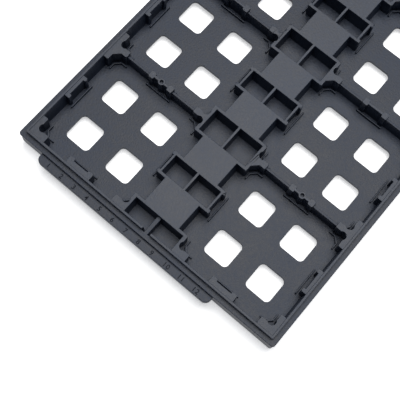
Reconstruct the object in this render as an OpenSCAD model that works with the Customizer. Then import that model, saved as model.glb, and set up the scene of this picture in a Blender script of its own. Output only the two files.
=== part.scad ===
// Stacking matrix tray for large square modules: one injection moulding, two columns of open pockets.
// Millimetres. The tray lies flat, its base on z = 0, with X across it and Y along it.

/* [Matrix] */
// Number of pocket rows along the tray
rows = 6; // [2:1:8]
// Distance between pocket rows
row_pitch = 50.8; // [50:0.1:60]
// Distance between the two pocket columns
column_pitch = 76.2; // [75:0.1:90]

/* [Heights] */
// Overall height, from the base to the top of the rim
tray_h = 12.19; // [11.4:0.01:14]
// Step down from the rim to the locators and the spine
locator_drop = 0.3; // [0.1:0.05:0.6]
// Height of the stacking ledge and of the separator walls
ledge_h = 10.16; // [9.6:0.01:10.8]
// Height of the pocket floors above the base
floor_h = 4; // [3.6:0.1:5]
// Thickness of the pocket floors
floor_t = 1.5; // [1.2:0.1:2]

/* [Outer wall] */
// Width of the stacking ledge outside the rim
ledge_w = 2.3; // [1.8:0.1:3]
// Width of the raised rim
rim_w = 1.1; // [0.8:0.1:2]
// Radius of the outer vertical corners
corner_r = 1.4; // [1.2:0.1:4]
// Radius of the corners of the rim
rim_r = 0.7; // [0.3:0.1:1]
// Lean of the pocket side walls, from rim to floor
wall_lean = 0.8; // [0.4:0.1:1.2]
// Thickness of the lip that carries the stacking ledge
lip_t = 1; // [0.6:0.1:1.2]
// How far the lip stands out from the outer wall
lip_out = 0.3; // [0.1:0.05:0.5]
// Height of the foot around the base
foot_h = 2; // [1:0.1:2.4]
// How far the foot is set in from the outer wall
foot_inset = 0.3; // [0.1:0.05:0.5]

/* [Pocket] */
// Width between the locating faces, across the tray
seat_w = 48; // [45:0.1:49]
// Length between the locating faces, along the tray
seat_l = 47.7; // [45:0.1:48]
// Room between the locating faces and the side wall
side_relief = 2.45; // [2:0.05:4]
// Room between the locating faces and the end wall
end_relief = 3.25; // [2:0.05:5]
// Thickness of the separator walls at the top
separator_t = 1.1; // [0.8:0.1:1.6]
// Lean of the separator walls, from top to floor
separator_lean = 0.25; // [0.1:0.05:0.5]

/* [Floor windows] */
// Width and length of each window
window_size = 12.3; // [8:0.1:16]
// Distance between the windows of one pocket
window_pitch = 22.05; // [18:0.05:24]
// Radius of the window corners
window_r = 2.1; // [1:0.1:3]

/* [Corner locators] */
// Reach of a corner locator from the pocket corner, across the tray
corner_reach_w = 5.45; // [4:0.05:8]
// Reach of a corner locator from the pocket corner, along the tray
corner_reach_l = 5.65; // [4:0.05:8]
// Radius of the relief in three of the corners
relief_r = 1.75; // [1.4:0.05:2.2]
// Distance from the locating faces in to the centre of the relief
relief_in = 1.2; // [0.8:0.05:1.3]
// Radius that blends the relief into the locating faces
blend_r = 0.8; // [0.3:0.1:1.2]
// Radius of the free corners of the locators
locator_r = 0.6; // [0.2:0.1:0.8]
// Bevel that marks the first corner of each pocket
key_bevel = 2.6; // [1.5:0.1:4]

/* [Middle locators] */
// Overall length of a side locator, along the tray
side_locator_l = 11.84; // [9:0.02:16]
// Length of each of its two posts
side_post_l = 1.85; // [1.4:0.05:2.6]
// Overall length of an end locator, across the tray
end_locator_l = 12.7; // [10:0.1:16]
// Length of each of its two posts
end_post_l = 2.7; // [1.4:0.1:3.2]
// How far the posts of a side locator stand proud of its web
post_proud = 1; // [0.6:0.1:1.4]
// Outer radius of the ring boss on every other separator
boss_r = 1.6; // [1.2:0.05:2]
// Radius of the dimple in the ring boss
dimple_r = 0.8; // [0.5:0.05:1]
// Depth of that dimple
dimple_depth = 1.5; // [0.8:0.1:2.5]

/* [Seat rails] */
// Height of the seat rails above the pocket floor
rail_h = 1.3; // [0.8:0.1:2]
// Width of a seat rail
rail_w = 0.65; // [0.5:0.05:1.2]
// Gap between a seat rail and the locating faces
rail_gap = 0.6; // [0.4:0.05:1]
// Length of the corner rails, along each side
corner_rail_l = 5.5; // [4:0.1:7]
// Length of the straight rails beside the middle locators
middle_rail_l = 13.2; // [10:0.1:18]
// Bevel on the bend of the corner rails
rail_bevel = 2.2; // [1:0.1:3]

/* [Spine] */
// Width of the spine between its cells
spine_w = 18.3; // [14:0.1:20]
// Wall between a boundary cell and the corner locators
boundary_wall = 1.7; // [1.2:0.05:2.4]
// Wall between a centre cell and the pocket
centre_wall = 1.1; // [0.8:0.05:1.6]
// Thickness of the cross walls at the ends of the cells
cross_wall = 1.4; // [1:0.05:2]
// Thickness of the divider down the middle of the cells
divider_t = 1.15; // [0.8:0.05:2]
// Lean of the cell walls, from top to floor
cell_lean = 0.4; // [0.2:0.05:0.6]
// Thickness of the low divider in the front cell
low_divider_t = 1.9; // [1.2:0.1:3]
// Width of the slot in the front rim, beside that divider
rim_slot_w = 4.2; // [3.6:0.1:6]

/* [End tabs] */
// Width of each end tab
tab_w = 92.1; // [60:0.1:100]
// Distance of the tab centres from the middle of the tray
tab_offset = -8.85; // [-12:0.05:12]
// How far the tabs stick out
tab_reach = 3.8; // [2:0.1:8]
// Step down from the ledge to the tabs
tab_drop = 1.4; // [0.8:0.1:2.5]
// Thickness of the tabs
tab_t = 2.5; // [1.5:0.1:4]
// Radius of the outer corners of the tabs
tab_r = 2.7; // [1:0.1:3.5]

/* [Underside] */
// Gap around the rim of the tray below, when stacked
nest_gap = 0.25; // [0.15:0.05:0.5]
// Width of the hold-down ribs
rib_w = 1; // [0.8:0.1:1.6]
// Gap between the base and the lower edge of the hold-down ribs
rib_clear = 0.6; // [0.3:0.1:1.2]
// Distance of the hold-down ribs in from the locating faces below
rib_in = 1; // [0.6:0.1:2]

/* [Hidden] */
$fn = 48;
over = 1;
seat_x = seat_w / 2;
seat_y = seat_l / 2;
column_x = column_pitch / 2;
first_row_y = -(rows - 1) * row_pitch / 2;
side_y = seat_y + end_relief;
side_x = seat_x + side_relief;
locator_h = tray_h - locator_drop;
well_half_w = column_x + side_x;
well_half_l = side_y - first_row_y;
rim_half_w = well_half_w + rim_w;
rim_half_l = well_half_l + rim_w;
body_half_w = rim_half_w + ledge_w;
body_half_l = rim_half_l + ledge_w;
spine_x = column_x - spine_w / 2;
boundary_y = row_pitch / 2;
separator_y = boundary_y - separator_t / 2;
corner_x = seat_x - corner_reach_w;
corner_y = seat_y - corner_reach_l;
boundary_cell_x = column_x - seat_x - boundary_wall;
boundary_cell_y = boundary_y - corner_y - cross_wall;
centre_cell_x = column_x - seat_x - post_proud - centre_wall;
centre_cell_y = side_locator_l / 2 - cross_wall;
tab_top = ledge_h - tab_drop;
recess_h = floor_h - floor_t;
rail_x = seat_x - rail_gap;
rail_y = seat_y - rail_gap;
relief_x = seat_x - relief_in;
relief_y = seat_y - relief_in;
blend_run = sqrt((relief_r + blend_r) ^ 2 - (relief_in + blend_r) ^ 2);
// Each wall of a well is [distance from its middle, lean, height of its mouth].
side_wall = [side_x, wall_lean, tray_h];
end_wall = [side_y, wall_lean, tray_h];
spine_wall = [spine_x, wall_lean, locator_h];
separator_wall = [separator_y, separator_lean, ledge_h];

function row_y(row) = first_row_y + row * row_pitch;
function has_boss(boundary) = boundary % 2 == 1 && boundary < rows;

// A rectangle about the origin with round corners.
module rounded_plate(width, length, radius) {
    square([width - 2 * radius, length], center = true);
    square([width, length - 2 * radius], center = true);
    for (x = [-1, 1], y = [-1, 1])
        translate([x * (width / 2 - radius), y * (length / 2 - radius)])
            circle(radius);
}

// A rectangle about the origin with bevelled corners.
module bevelled_plate(half_w, half_l, bevel) {
    polygon([
        [-half_w, -half_l + bevel], [-half_w + bevel, -half_l],
        [half_w - bevel, -half_l], [half_w, -half_l + bevel],
        [half_w, half_l - bevel], [half_w - bevel, half_l],
        [-half_w + bevel, half_l], [-half_w, half_l - bevel]
    ]);
}

// Section of a well whose walls lean in towards its floor.
module well_section(low, high) {
    polygon([
        [-low[0], tray_h + over], [-low[0], low[2]], [low[1] - low[0], floor_h],
        [high[0] - high[1], floor_h], [high[0], high[2]], [high[0], tray_h + over]
    ]);
}

module well(left, right, near, far) {
    intersection() {
        rotate([90, 0, 0])
            linear_extrude(4 * body_half_l, center = true)
                well_section(left, right);
        rotate([90, 0, 90])
            linear_extrude(4 * body_half_l, center = true)
                well_section(near, far);
    }
}

// A block that runs outwards from a round corner at x, y.
module cornered_block(x, y) {
    reach = column_pitch;
    translate([x + reach / 2, y + reach / 2])
        rounded_plate(reach, reach, locator_r);
}

// A web between two posts with round corners, on the +X side. The posts stand at face.
module middle_locator(face, web, length, post_l) {
    reach = column_pitch;
    for (side = [-1, 1])
        translate([face + reach / 2, side * (length - post_l) / 2])
            rounded_plate(reach, post_l, locator_r);
    translate([web, -length / 2])
        square([reach, length]);
}

// The round relief in a corner, with the two places where it blends into the locating faces.
module corner_relief() {
    translate([relief_x, relief_y])
        circle(relief_r);
    polygon([
        [relief_x, relief_y], [relief_x - blend_run, seat_y + blend_r],
        [relief_x - blend_run, relief_y - blend_run], [seat_x + blend_r, relief_y - blend_run]
    ]);
}

module relief_blends() {
    translate([relief_x - blend_run, seat_y + blend_r])
        circle(blend_r);
    translate([seat_x + blend_r, relief_y - blend_run])
        circle(blend_r);
}

// Plan of the blocks and posts that hold a module in place, around one pocket.
module locator_plan() {
    relieved = [[-1, -1], [1, -1], [1, 1]];
    difference() {
        for (x = [-1, 1], y = [-1, 1])
            scale([x, y]) {
                cornered_block(corner_x, seat_y);
                cornered_block(seat_x, corner_y);
            }
        for (corner = relieved)
            scale(corner)
                corner_relief();
    }
    for (corner = relieved)
        scale(corner)
            relief_blends();
    polygon([
        [-seat_x - over, seat_y + over], [-seat_x - over, seat_y - key_bevel],
        [-seat_x, seat_y - key_bevel], [-seat_x + key_bevel, seat_y],
        [-seat_x + key_bevel, seat_y + over]
    ]);
    for (turn = [0, 180]) {
        rotate(turn)
            middle_locator(seat_x, seat_x + post_proud, side_locator_l, side_post_l);
        rotate(turn + 90)
            middle_locator(seat_y, separator_y, end_locator_l, end_post_l);
    }
}

// Plan of the low rails that a module rests on.
module rail_plan() {
    intersection() {
        difference() {
            bevelled_plate(rail_x, rail_y, rail_bevel);
            bevelled_plate(rail_x - rail_w, rail_y - rail_w, rail_bevel);
        }
        union() {
            for (x = [-1, 1], y = [-1, 1])
                translate([x * rail_x, y * rail_y])
                    square(2 * corner_rail_l, center = true);
            square([seat_w, middle_rail_l], center = true);
            square([middle_rail_l, seat_l], center = true);
        }
    }
}

// What one pocket removes: the space in it and its four windows. side is -1 for the left column.
module pocket_space(row, side) {
    left = side < 0 ? side_wall : spine_wall;
    right = side < 0 ? spine_wall : side_wall;
    near = row == 0 ? end_wall : separator_wall;
    far = row == rows - 1 ? end_wall : separator_wall;
    difference() {
        well(left, right, near, far);
        linear_extrude(tray_h + 2 * over)
            locator_plan();
        linear_extrude(floor_h + rail_h)
            rail_plan();
        if (has_boss(row))
            boss_at(-boundary_y);
        if (has_boss(row + 1))
            boss_at(boundary_y);
    }
    for (x = [-1, 1], y = [-1, 1])
        translate([x * window_pitch / 2, y * window_pitch / 2, -over])
            linear_extrude(floor_h + 2 * over)
                rounded_plate(window_size, window_size, window_r);
}

module boss_at(y) {
    translate([0, y, 0])
        cylinder(h = tray_h + 2 * over, r = boss_r);
}

// The separator walls are lower than the locators that they join.
module separator_gap(boundary, column, side) {
    gap_l = corner_x - end_locator_l / 2;
    middle_x = column * column_x + side * (corner_x + end_locator_l / 2) / 2;
    translate([middle_x, row_y(boundary) - boundary_y, ledge_h + tray_h / 2])
        cube([gap_l, separator_t + 2 * separator_lean, tray_h], center = true);
}

module boss_dimple(boundary, column) {
    translate([column * column_x, row_y(boundary) - boundary_y, locator_h - dimple_depth])
        cylinder(h = dimple_depth + over, r = dimple_r);
}

// A pair of cells about a divider of full height.
module cell_pair(middle_y, half_w, near, far) {
    side = [half_w, cell_lean, locator_h];
    translate([0, middle_y, 0])
        difference() {
            well(side, side, near, far);
            cube([divider_t, 4 * boundary_y, 4 * tray_h], center = true);
        }
}

// The front pair: its divider is low and runs out through a slot in the rim to the ledge.
module front_cells(middle_y, half_w, near, far) {
    side = [half_w, cell_lean, locator_h];
    translate([0, middle_y, 0])
        difference() {
            union() {
                well(side, side, near, far);
                translate([-rim_slot_w / 2, -near[0] - rim_w, floor_h])
                    cube([rim_slot_w, rim_w + far[0], tray_h]);
                translate([-rim_slot_w / 2, -near[0] - rim_w - over, ledge_h])
                    cube([rim_slot_w, rim_w + over, tray_h]);
            }
            cube([low_divider_t, 4 * boundary_y, 2 * ledge_h], center = true);
        }
}

module spine_cells() {
    end = [side_y - boundary_y, wall_lean, tray_h];
    cross = [boundary_cell_y, cell_lean, locator_h];
    centre = [centre_cell_y, cell_lean, locator_h];
    front_cells(row_y(0) - boundary_y, boundary_cell_x, end, cross);
    for (boundary = [1 : rows - 1])
        cell_pair(row_y(boundary) - boundary_y, boundary_cell_x, cross, cross);
    cell_pair(row_y(rows) - boundary_y, boundary_cell_x, cross, end);
    for (row = [0 : rows - 1])
        cell_pair(row_y(row), centre_cell_x, centre, centre);
}

// The locators and the spine end a little below the rim.
module locator_level() {
    left = [well_half_w, wall_lean, tray_h];
    near = [well_half_l, wall_lean, tray_h];
    difference() {
        well(left, left, near, near);
        translate([0, 0, locator_h - tray_h])
            cube([4 * body_half_w, 4 * body_half_l, 2 * tray_h], center = true);
    }
}

// The recess under the floors takes the rim of the tray below. Ribs in it hold the modules down.
module underside_recess() {
    difference() {
        translate([0, 0, -over])
            linear_extrude(recess_h + over)
                rounded_plate(2 * (rim_half_w + nest_gap), 2 * (rim_half_l + nest_gap), rim_r);
        for (row = [0 : rows - 1], side = [-1, 1])
            translate([side * column_x, row_y(row), rib_clear])
                linear_extrude(tray_h)
                    difference() {
                        square([seat_w - 2 * rib_in, seat_l - 2 * rib_in], center = true);
                        square([seat_w - 2 * rib_in - 2 * rib_w, seat_l - 2 * rib_in - 2 * rib_w], center = true);
                    }
    }
}

// The tray without its pockets: foot, outer wall, lip, rim and tabs as one block.
module blank() {
    tier(0, foot_h, body_half_w, body_half_l, lip_out + foot_inset);
    tier(foot_h, ledge_h, body_half_w, body_half_l, lip_out);
    tier(ledge_h - lip_t, ledge_h, body_half_w, body_half_l, 0);
    translate([0, 0, foot_h])
        linear_extrude(tray_h - foot_h)
            rounded_plate(2 * rim_half_w, 2 * rim_half_l, rim_r);
    translate([tab_offset, 0, tab_top - tab_t])
        linear_extrude(tab_t)
            rounded_plate(tab_w, 2 * (body_half_l + tab_reach), tab_r);
}

// One height range of the outer wall, set in from its outline.
module tier(from, to, half_w, half_l, inset) {
    translate([0, 0, from])
        linear_extrude(to - from)
            rounded_plate(2 * (half_w - inset), 2 * (half_l - inset), corner_r - inset);
}

module tray() {
    color([0.25, 0.27, 0.31])
        difference() {
            blank();
            locator_level();
            for (row = [0 : rows - 1], side = [-1, 1])
                translate([side * column_x, row_y(row), 0])
                    pocket_space(row, side);
            for (boundary = [1 : rows - 1], column = [-1, 1]) {
                separator_gap(boundary, column, -1);
                separator_gap(boundary, column, 1);
                if (has_boss(boundary))
                    boss_dimple(boundary, column);
            }
            spine_cells();
            underside_recess();
        }
}

tray();
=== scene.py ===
import bpy
import bmesh
import math
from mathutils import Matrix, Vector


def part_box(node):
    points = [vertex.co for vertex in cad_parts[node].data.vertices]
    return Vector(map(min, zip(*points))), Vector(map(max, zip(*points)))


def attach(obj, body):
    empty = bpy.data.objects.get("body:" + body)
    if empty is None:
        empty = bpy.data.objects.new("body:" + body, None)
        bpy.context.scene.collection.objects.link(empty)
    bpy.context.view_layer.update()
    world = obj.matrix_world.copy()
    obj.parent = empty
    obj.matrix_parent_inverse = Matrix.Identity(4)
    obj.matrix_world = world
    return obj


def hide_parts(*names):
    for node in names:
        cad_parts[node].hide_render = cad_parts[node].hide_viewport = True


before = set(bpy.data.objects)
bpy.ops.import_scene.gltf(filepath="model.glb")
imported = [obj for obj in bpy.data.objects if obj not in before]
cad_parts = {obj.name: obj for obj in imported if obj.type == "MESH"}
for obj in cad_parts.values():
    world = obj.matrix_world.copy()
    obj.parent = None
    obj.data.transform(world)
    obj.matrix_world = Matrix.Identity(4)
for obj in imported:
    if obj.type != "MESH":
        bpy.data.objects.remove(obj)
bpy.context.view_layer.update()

# ---------------------------------------------------------------- tray
# A single injection moulding in black static-dissipative plastic. The mould leaves
# every edge softly rounded, most of all the lip that the next tray stands on and the
# rims of the end tabs, and gives all faces a fine matt grain.
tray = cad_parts["tray"].copy()
tray.data = tray.data.copy()
tray.name = "tray_moulding"
tray.parent = None
bpy.context.scene.collection.objects.link(tray)
bpy.ops.object.select_all(action="DESELECT")
tray.select_set(True)
bpy.context.view_layer.objects.active = tray
bpy.ops.mesh.customdata_custom_splitnormals_clear()

shape = bmesh.new()
shape.from_mesh(tray.data)
bmesh.ops.remove_doubles(shape, verts=shape.verts, dist=0.000002)
flat_within = math.radians(0.6)
bmesh.ops.dissolve_limit(
    shape, angle_limit=flat_within, verts=shape.verts, edges=shape.edges
)
# the rim and the spine are wide faces with a great many corners, so they are cut into
# triangles before their edges are rounded
lip_top = 0.01016
corners_too_many = 200
wide_faces = [
    face for face in shape.faces
    if len(face.verts) > corners_too_many and face.verts[0].co.z > lip_top
]
bmesh.ops.triangulate(shape, faces=wide_faces)
# only outer corners are rounded, in full round the lip and the tabs, and less elsewhere
tab_top = 0.00876
side_lip_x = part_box("tray")[1].x - 0.0015
end_lip_y = 0.1560
sharp_from = math.radians(28)
full_round = 1.0
less_round = 0.65
weight = shape.edges.layers.float.new("bevel_weight_edge")
for edge in shape.edges:
    if len(edge.link_faces) != 2 or not edge.is_convex:
        continue
    if edge.calc_face_angle() < sharp_from:
        continue
    a, b = (corner.co for corner in edge.verts)
    at_side = max(abs(a.x), abs(b.x)) > side_lip_x
    at_end = max(abs(a.y), abs(b.y)) > end_lip_y
    level = abs(a.z - b.z) < 0.00001
    on_top = min(abs(a.z - lip_top), abs(a.z - tab_top)) < 0.00002
    if level and on_top and (at_side or at_end):
        edge[weight] = full_round
    else:
        edge[weight] = less_round
shape.to_mesh(tray.data)
shape.free()

rounding = tray.modifiers.new("rounding", "BEVEL")
rounding.limit_method = "WEIGHT"
rounding.width = 0.00034
rounding.segments = 2
rounding.use_clamp_overlap = False
rounding.miter_outer = "MITER_SHARP"
bpy.ops.object.modifier_apply(modifier="rounding")
bpy.ops.object.shade_smooth_by_angle(angle=math.radians(40))
weighted = tray.modifiers.new("weighted", "WEIGHTED_NORMAL")
weighted.keep_sharp = True
weighted.weight = 100
bpy.ops.object.modifier_apply(modifier="weighted")

plastic = bpy.data.materials.new("tray_plastic")
plastic.use_nodes = True
nodes = plastic.node_tree.nodes
links = plastic.node_tree.links
shader = nodes["Principled BSDF"]
shader.inputs["Specular IOR Level"].default_value = 0.5
place = nodes.new("ShaderNodeTexCoord")
# cloudy flow of the filler in the melt, a few centimetres across
flow = nodes.new("ShaderNodeTexNoise")
flow.inputs["Scale"].default_value = 45.0
flow.inputs["Detail"].default_value = 5.0
flow.inputs["Roughness"].default_value = 0.6
links.new(place.outputs["Object"], flow.inputs["Vector"])
# the fine speckle of the filler itself
speck = nodes.new("ShaderNodeTexNoise")
speck.inputs["Scale"].default_value = 900.0
speck.inputs["Detail"].default_value = 2.0
links.new(place.outputs["Object"], speck.inputs["Vector"])
tint = nodes.new("ShaderNodeValToRGB")
tint.color_ramp.elements[0].position = 0.40
tint.color_ramp.elements[0].color = (0.010, 0.017, 0.035, 1.0)
tint.color_ramp.elements[1].position = 0.62
tint.color_ramp.elements[1].color = (0.031, 0.044, 0.075, 1.0)
both = nodes.new("ShaderNodeMix")
both.data_type = "FLOAT"
both.inputs["Factor"].default_value = 0.5
links.new(flow.outputs["Fac"], both.inputs["A"])
links.new(speck.outputs["Fac"], both.inputs["B"])
links.new(both.outputs["Result"], tint.inputs["Fac"])
# painted highlight: the upper faces are mixed a little paler by height, standing in for
# the fuller light that falls on them
height = nodes.new("ShaderNodeSeparateXYZ")
links.new(place.outputs["Object"], height.inputs["Vector"])
painted_top_light_mask = nodes.new("ShaderNodeMapRange")
painted_top_light_mask.inputs["From Min"].default_value = 0.0110
painted_top_light_mask.inputs["From Max"].default_value = 0.0118
painted_top_light_mask.inputs["To Max"].default_value = 0.045
links.new(height.outputs["Z"], painted_top_light_mask.inputs["Value"])
# painted highlight colour mixed into the upper faces
painted_top_light = nodes.new("ShaderNodeMix")
painted_top_light.data_type = "RGBA"
painted_top_light.inputs["B"].default_value = (0.80, 0.84, 0.92, 1.0)
links.new(painted_top_light_mask.outputs["Result"], painted_top_light.inputs["Factor"])
links.new(tint.outputs["Color"], painted_top_light.inputs["A"])
links.new(painted_top_light.outputs["Result"], shader.inputs["Base Color"])
# handled faces are a little glossier in patches
gloss = nodes.new("ShaderNodeMapRange")
gloss.inputs["From Min"].default_value = 0.3
gloss.inputs["From Max"].default_value = 0.7
gloss.inputs["To Min"].default_value = 0.38
gloss.inputs["To Max"].default_value = 0.56
links.new(both.outputs["Result"], gloss.inputs["Value"])
links.new(gloss.outputs["Result"], shader.inputs["Roughness"])
# spark-eroded mould grain
grain = nodes.new("ShaderNodeTexNoise")
grain.inputs["Scale"].default_value = 1300.0
grain.inputs["Detail"].default_value = 3.0
links.new(place.outputs["Object"], grain.inputs["Vector"])
bump = nodes.new("ShaderNodeBump")
bump.inputs["Strength"].default_value = 0.6
bump.inputs["Distance"].default_value = 0.00016
links.new(grain.outputs["Fac"], bump.inputs["Height"])
links.new(bump.outputs["Normal"], shader.inputs["Normal"])
tray.data.materials.clear()
tray.data.materials.append(plastic)
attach(tray, "root")
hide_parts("tray")

# ---------------------------------------------------------------- tab numbers
# Plain numbers, one for each pocket, on the near end tab where such trays carry their
# marking. Their dark colour is painted shade, standing in for the shade along the edges
# of moulded numbers; they are dull and barely proud.
tab_face = 0.00876
sunk = 0.00005
bpy.ops.object.text_add(location=(-0.0500, -0.1606, tab_face - sunk))
numbers = bpy.context.object
numbers.name = "tab_numbers"
numbers.data.body = "1     2     3     4     5     6     7     8     9     10    11    12"
numbers.data.size = 0.0030
numbers.data.offset = 0.00004
numbers.data.extrude = 0.00007
numbers.data.space_character = 1.15
bpy.ops.object.convert(target="MESH")
bpy.ops.object.transform_apply(location=True, rotation=True, scale=True)
numbers_shade_material = bpy.data.materials.new("numbers_painted_shade")
numbers_shade_material.use_nodes = True
nodes = numbers_shade_material.node_tree.nodes
links = numbers_shade_material.node_tree.links
shader = nodes["Principled BSDF"]
shader.inputs["Roughness"].default_value = 0.85
shader.inputs["Specular IOR Level"].default_value = 0.2
place = nodes.new("ShaderNodeTexCoord")
shade_mottle = nodes.new("ShaderNodeTexNoise")
shade_mottle.inputs["Scale"].default_value = 3000.0
shade_mottle.inputs["Detail"].default_value = 2.0
links.new(place.outputs["Object"], shade_mottle.inputs["Vector"])
# painted shade: near-black, mottled colours for the numbers
tint = nodes.new("ShaderNodeValToRGB")
tint.color_ramp.elements[0].position = 0.35
tint.color_ramp.elements[0].color = (0.006, 0.008, 0.013, 1.0)
tint.color_ramp.elements[1].position = 0.68
tint.color_ramp.elements[1].color = (0.020, 0.024, 0.034, 1.0)
links.new(shade_mottle.outputs["Fac"], tint.inputs["Fac"])
links.new(tint.outputs["Color"], shader.inputs["Base Color"])
numbers.data.materials.clear()
numbers.data.materials.append(numbers_shade_material)
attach(numbers, "root")

# ---------------------------------------------------------------- floor and world
# A plain white table top, which keeps the tray's shadow. The room is white to the
# camera and dim to everything else.
table_top = 0.0
bpy.ops.mesh.primitive_plane_add(size=6.0, location=(0.0, 0.0, table_top))
floor = bpy.context.object
floor.name = "floor"
paper = bpy.data.materials.new("floor_white")
paper.use_nodes = True
nodes = paper.node_tree.nodes
links = paper.node_tree.links
nodes.clear()
matt = nodes.new("ShaderNodeBsdfDiffuse")
glow = nodes.new("ShaderNodeEmission")
glow.inputs["Color"].default_value = (1.0, 1.0, 1.0, 1.0)
ray = nodes.new("ShaderNodeLightPath")
bright = nodes.new("ShaderNodeMix")
bright.data_type = "RGBA"
bright.inputs["A"].default_value = (0.86, 0.86, 0.87, 1.0)
bright.inputs["B"].default_value = (1.35, 1.35, 1.35, 1.0)
links.new(ray.outputs["Is Camera Ray"], bright.inputs["Factor"])
links.new(bright.outputs["Result"], matt.inputs["Color"])
direct = nodes.new("ShaderNodeMath")
direct.operation = "MAXIMUM"
links.new(ray.outputs["Is Camera Ray"], direct.inputs[0])
links.new(ray.outputs["Is Glossy Ray"], direct.inputs[1])
lift = nodes.new("ShaderNodeMath")
lift.operation = "MULTIPLY"
lift.inputs[1].default_value = 0.52
links.new(direct.outputs["Value"], lift.inputs[0])
links.new(lift.outputs["Value"], glow.inputs["Strength"])
total = nodes.new("ShaderNodeAddShader")
links.new(matt.outputs["BSDF"], total.inputs[0])
links.new(glow.outputs["Emission"], total.inputs[1])
surface = nodes.new("ShaderNodeOutputMaterial")
links.new(total.outputs["Shader"], surface.inputs["Surface"])
floor.data.materials.append(paper)

world = bpy.data.worlds.new("studio")
bpy.context.scene.world = world
world.use_nodes = True
nodes = world.node_tree.nodes
links = world.node_tree.links
nodes.clear()
seen = nodes.new("ShaderNodeBackground")
seen.inputs["Color"].default_value = (1.0, 1.0, 1.0, 1.0)
seen.inputs["Strength"].default_value = 1.0
room = nodes.new("ShaderNodeBackground")
room.inputs["Color"].default_value = (0.50, 0.70, 1.0, 1.0)
room.inputs["Strength"].default_value = 0.05
ray = nodes.new("ShaderNodeLightPath")
choice = nodes.new("ShaderNodeMixShader")
links.new(ray.outputs["Is Camera Ray"], choice.inputs["Fac"])
links.new(room.outputs["Background"], choice.inputs[1])
links.new(seen.outputs["Background"], choice.inputs[2])
surface = nodes.new("ShaderNodeOutputWorld")
links.new(choice.outputs["Shader"], surface.inputs["Surface"])

# ---------------------------------------------------------------- lights
# One big soft box hangs over the tray, a little to the left of it and beyond it.
lamp = bpy.data.lights.new("soft_box", "AREA")
lamp.shape = "RECTANGLE"
lamp.size = 1.0
lamp.size_y = 1.0
lamp.energy = 11.2
lamp.color = (1.0, 0.99, 0.98)
soft_box = bpy.data.objects.new("soft_box", lamp)
bpy.context.scene.collection.objects.link(soft_box)
soft_box.location = (-0.05, 0.20, 1.10)
soft_box.rotation_euler = (-0.18, -0.05, 0.0)

# ---------------------------------------------------------------- camera
# Held over the near right corner, looking almost straight down.
lens = bpy.data.cameras.new("camera")
lens.sensor_width = 36.0
lens.lens = 74.565
lens.clip_start = 0.01
lens.clip_end = 20.0
camera = bpy.data.objects.new("camera", lens)
bpy.context.scene.collection.objects.link(camera)
camera.location = (0.05685, -0.21253, 0.33426)
camera.rotation_euler = (
    math.radians(16.2641), math.radians(-2.7382), math.radians(40.2332)
)
bpy.context.scene.camera = camera
bpy.context.scene.view_settings.view_transform = "Standard"
